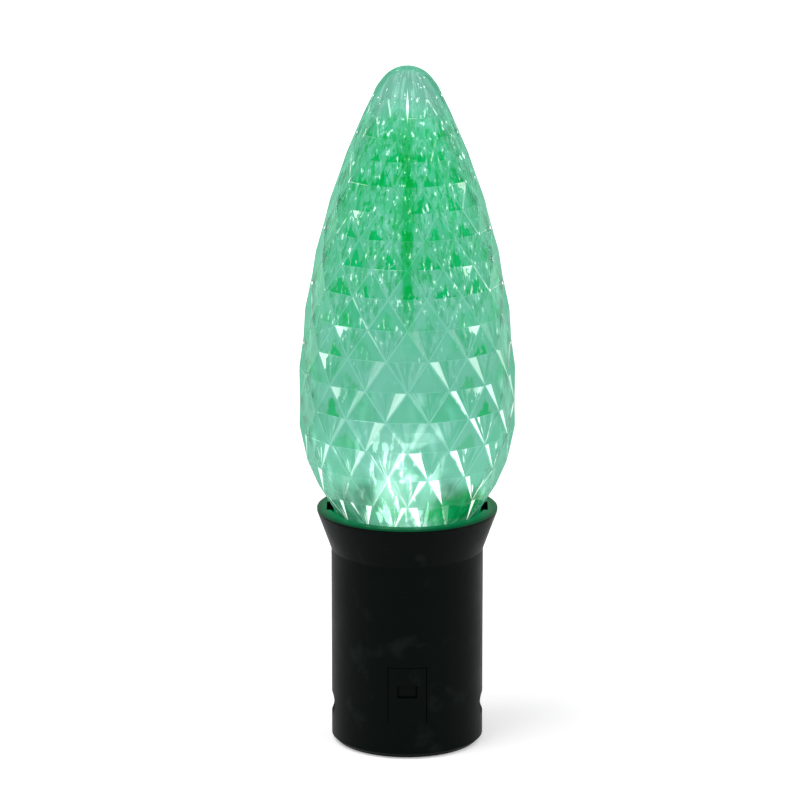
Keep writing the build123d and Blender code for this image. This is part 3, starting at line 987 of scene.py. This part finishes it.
# Stripe of the capacitor: its share of the width, and half the width of its edge in metres
STRIPE_SHARE = 0.12
STRIPE_EDGE = 0.00002


def capacitor_material():
    """Black sleeve with one pale stripe down its outer side."""
    made, g = grained("capacitor_black", (0.012, 0.012, 0.014), (0.02, 0.02, 0.024), 700.0,
                      (0.28, 0.4))
    low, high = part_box("capacitor_body")
    x = g.parts(g.place())[0]
    start = high[0] - STRIPE_SHARE * (high[0] - low[0])
    stripe = g.step(g.minus(x, start), -STRIPE_EDGE, STRIPE_EDGE)
    g.set("Base Color", g.blend(stripe, g.colour, (0.55, 0.56, 0.58, 1)))
    return made


# Board, in metres: radius of a pad, radius of the round trace, and half its width
PAD_EDGE = (0.00058, 0.00062)
TRACE_RADIUS = 0.0052
TRACE_HALF = (0.00022, 0.0003)


def board_material():
    """White solder mask over raised traces, with a tinned pad around each lead, and a faint glow
    of painted light from the lamps.
    """
    # The faint emission is painted light of the lamps on the board
    made, g = grained("board_white", (0.78, 0.81, 0.78), (0.84, 0.86, 0.83), 500.0, (0.32, 0.46),
                      Emission_Color=(0.7, 0.9, 0.8, 1), Emission_Strength=0.08)
    x, y, _ = g.parts(g.place())
    flat = g.join(x, y, 0.0)
    nearest = 1.0
    for lamp in range(LED_COUNT):
        turn = math.pi / 2 + FULL_TURN * lamp / LED_COUNT
        for side in (-1, 1):
            across = side * LEAD_PITCH / 2
            hole = (MM * (LED_RING * math.cos(turn) - across * math.sin(turn)),
                    MM * (LED_RING * math.sin(turn) + across * math.cos(turn)), 0.0)
            nearest = g.least(nearest, g.distance(flat, hole))
    pad = g.rest(g.step(nearest, *PAD_EDGE))
    from_trace = g.absolute(g.minus(g.distance(flat), TRACE_RADIUS))
    trace = g.rest(g.step(from_trace, *TRACE_HALF))
    g.set("Base Color", g.layer(g.colour, ((g.times(trace, 0.6), (0.62, 0.7, 0.64, 1)),
                                           (pad, (0.7, 0.7, 0.68, 1)))))
    g.set("Metallic", pad)
    g.bump(g.plus(g.height, g.plus(trace, pad)), GRAIN_BUMP, 0.00004)
    return made


def lens_material():
    """Clear epoxy, lit from inside and brightest in its domed top."""
    made = new_material("led_lens", (0.95, 1.0, 0.97), roughness=0.1, IOR=1.5,
                        Transmission_Weight=0.6, Emission_Strength=0.3)
    g = Graph(made.node_tree)
    low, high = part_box("led_lens_1")
    z = g.parts(g.place())[2]
    cloud = g.noise(g.place(), 1100.0, 3.0)
    lit = g.times(g.step(z, low[2], high[2]), g.span(cloud, 0.5, 1.3))
    g.set("Emission Color", g.blend(lit, (0.35, 0.6, 0.5, 1), (1.0, 1.25, 1.15, 1)))
    g.set("Roughness", g.span(cloud, 0.05, 0.2))
    return made


# Radii of the shell, in metres, between which the darkening of the thread's roots ends
THREAD_ROOT = (0.0077, 0.0082)
ROOT_DARK = (0.17, 0.155, 0.135, 1)


def nickel_material():
    """Rolled nickel, bright on the crests of the thread and darker in patches in its roots."""
    made, g = grained("shell_nickel", (0.6, 0.58, 0.54), (0.44, 0.42, 0.39), 520.0, (0.16, 0.34),
                      stretch=AROUND_AXIS, metallic=1.0)
    x, y, _ = g.parts(g.place())
    radius = g.distance(g.join(x, y, 0.0))
    blotches = g.step(g.noise(g.place(), 330.0, 4.0), 0.3, 0.6)
    root = g.times(g.rest(g.step(radius, *THREAD_ROOT)), g.span(blotches, 0.55, 0.95))
    g.set("Base Color", g.blend(root, g.colour, ROOT_DARK))
    g.set("Roughness", g.span(root, 0.2, 0.42))
    return made


def chip_material():
    """Lit chip with the fine grid of its contacts."""
    made = new_material("led_chip", (0.4, 0.7, 0.5), roughness=0.4, Emission_Strength=1.5)
    g = Graph(made.node_tree)
    speck = g.step(g.noise(g.place(), 9000.0, 1.0), 0.45, 0.55)
    g.set("Emission Color", g.blend(speck, (0.3, 0.9, 0.6, 1), (0.9, 1, 0.95, 1)))
    return made


cover_green = cover_material()
holder_plastic = holder_material()
brass = plain_grained("brass", (0.76, 0.55, 0.25), (0.58, 0.39, 0.17), 420.0, (0.22, 0.42),
                      stretch=AROUND_AXIS, metallic=1.0)
nickel = nickel_material()
solder = plain_grained("solder", (0.74, 0.74, 0.76), (0.56, 0.56, 0.58), 1300.0, (0.2, 0.45),
                       relief=0.00008, metallic=1.0)
tinned = plain_grained("tinned_wire", (0.74, 0.73, 0.7), (0.6, 0.59, 0.57), 1600.0, (0.2, 0.4),
                       metallic=1.0)
collar_white = plain_grained("collar_plastic", (0.8, 0.81, 0.77), (0.74, 0.75, 0.71), 380.0,
                             (0.34, 0.5))
insulator_black = plain_grained("insulator_black", (0.012, 0.012, 0.013), (0.024, 0.023, 0.024),
                                480.0, (0.22, 0.45), relief=0.00005)
rectifier_black = plain_grained("chip_black", (0.014, 0.014, 0.015), (0.022, 0.022, 0.023),
                                1500.0, (0.45, 0.62), relief=0.00005)
wire_white = plain_grained("wire_white", (0.78, 0.78, 0.76), (0.7, 0.7, 0.68), 700.0,
                           (0.35, 0.5))
looks = {
    "holder_body": holder_plastic, "wire_cap": holder_plastic, "thread_sleeve": brass,
    "centre_spring": brass, "centre_contact": brass, "solder_tip": solder,
    "lamp_collar": collar_white, "base_insulator": insulator_black, "led_board": board_material(),
    "led_lens": lens_material(), "led_chip": chip_material(), "led_anode": tinned,
    "led_cathode": tinned, "rectifier_body": rectifier_black, "rectifier_leg": tinned,
    "ballast_resistor": resistor_material(), "resistor_lead": tinned,
    "capacitor_body": capacitor_material(), "capacitor_lead": tinned,
    "shell_wire": wire_white, "contact_wire": wire_white,
    "faceted_cover": cover_green, "screw_shell": nickel,
}
for name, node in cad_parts.items():
    node.data.materials.clear()
    node.data.materials.append(looks[name.rstrip("0123456789").rstrip("_")])

add_piece("clear_cover", cover_mesh(), "lamp", cover_green, "faceted_cover")
add_piece("threaded_shell", shell_mesh(), "lamp", nickel, "screw_shell")

# Camera
ELEVATION = math.radians(14.5)
DISTANCE = 0.6
AIM = Vector((-0.96 * MM, 0, 46.5 * MM))
camera = bpy.data.cameras.new("camera")
camera.sensor_width = 36.0
camera.lens = 204.4
camera.clip_start = 0.05
camera.clip_end = 20.0
viewpoint = bpy.data.objects.new("camera", camera)
scene.collection.objects.link(viewpoint)
viewpoint.location = AIM + DISTANCE * Vector((0, -math.cos(ELEVATION), math.sin(ELEVATION)))
viewpoint.rotation_euler = (math.pi / 2 - ELEVATION, 0, 0)
scene.camera = viewpoint

# Floor: pale, with the part's shadow, and white where it meets the backdrop. It lightens between
# two distances from the middle.
FLOOR_SIZE = 3.0
FLOOR_DROP = 0.0001
FLOOR_GREY = (0.8, 0.8, 0.8, 1)
FLOOR_FADE = (0.12, 0.5)
FLOOR_LIFT = (0.35, 1.0)
bm = bmesh.new()
bmesh.ops.create_grid(bm, x_segments=1, y_segments=1, size=FLOOR_SIZE)
floor_mesh = bpy.data.meshes.new("floor")
bm.to_mesh(floor_mesh)
bm.free()
floor = bpy.data.objects.new("floor", floor_mesh)
floor.location = (0, 0, -FLOOR_DROP)
scene.collection.objects.link(floor)

floor_look = bpy.data.materials.new("floor")
floor_look.use_nodes = True
floor_look.node_tree.nodes.clear()
g = Graph(floor_look.node_tree)
matte = g.node("BsdfDiffuse")
matte.inputs["Color"].default_value = FLOOR_GREY
lift = g.node("Emission")
g.put(lift.inputs["Strength"],
      g.times(g.seen(), g.span(g.step(g.distance(g.place()), *FLOOR_FADE), *FLOOR_LIFT)))
mixed = g.node("AddShader")
g.put(mixed.inputs[0], matte.outputs[0])
g.put(mixed.inputs[1], lift.outputs[0])
g.put(g.node("OutputMaterial").inputs["Surface"], mixed.outputs[0])
floor_mesh.materials.append(floor_look)

# World: soft light, and a plain white backdrop where it is seen
WHITE = (1, 1, 1, 1)
SOFT_LIGHT = 0.55
BACKDROP = 1.0
world = bpy.data.worlds.new("world")
world.use_nodes = True
world.node_tree.nodes.clear()
g = Graph(world.node_tree)
mixed = g.node("MixShader")
g.put(mixed.inputs[0], g.seen())
for socket, strength in ((mixed.inputs[1], SOFT_LIGHT), (mixed.inputs[2], BACKDROP)):
    background = g.node("Background")
    background.inputs["Color"].default_value = WHITE
    background.inputs["Strength"].default_value = strength
    g.put(socket, background.outputs[0])
g.put(g.node("OutputWorld").inputs["Surface"], mixed.outputs[0])
scene.world = world

# Lights, with their power in watts
LIGHT_SIZE = 0.9
LIGHT_AIM = Vector((0, 0, 0.045))
for name, place, power in (("key", (-0.5, -0.3, 1.1), 9.0), ("fill", (0.8, -0.3, 0.8), 4.0)):
    light = bpy.data.lights.new(name, "AREA")
    light.size = LIGHT_SIZE
    light.energy = power
    lamp = bpy.data.objects.new(name, light)
    lamp.location = place
    lamp.rotation_euler = (LIGHT_AIM - Vector(place)).to_track_quat("-Z", "Y").to_euler()
    scene.collection.objects.link(lamp)

scene.view_settings.view_transform = "Standard"
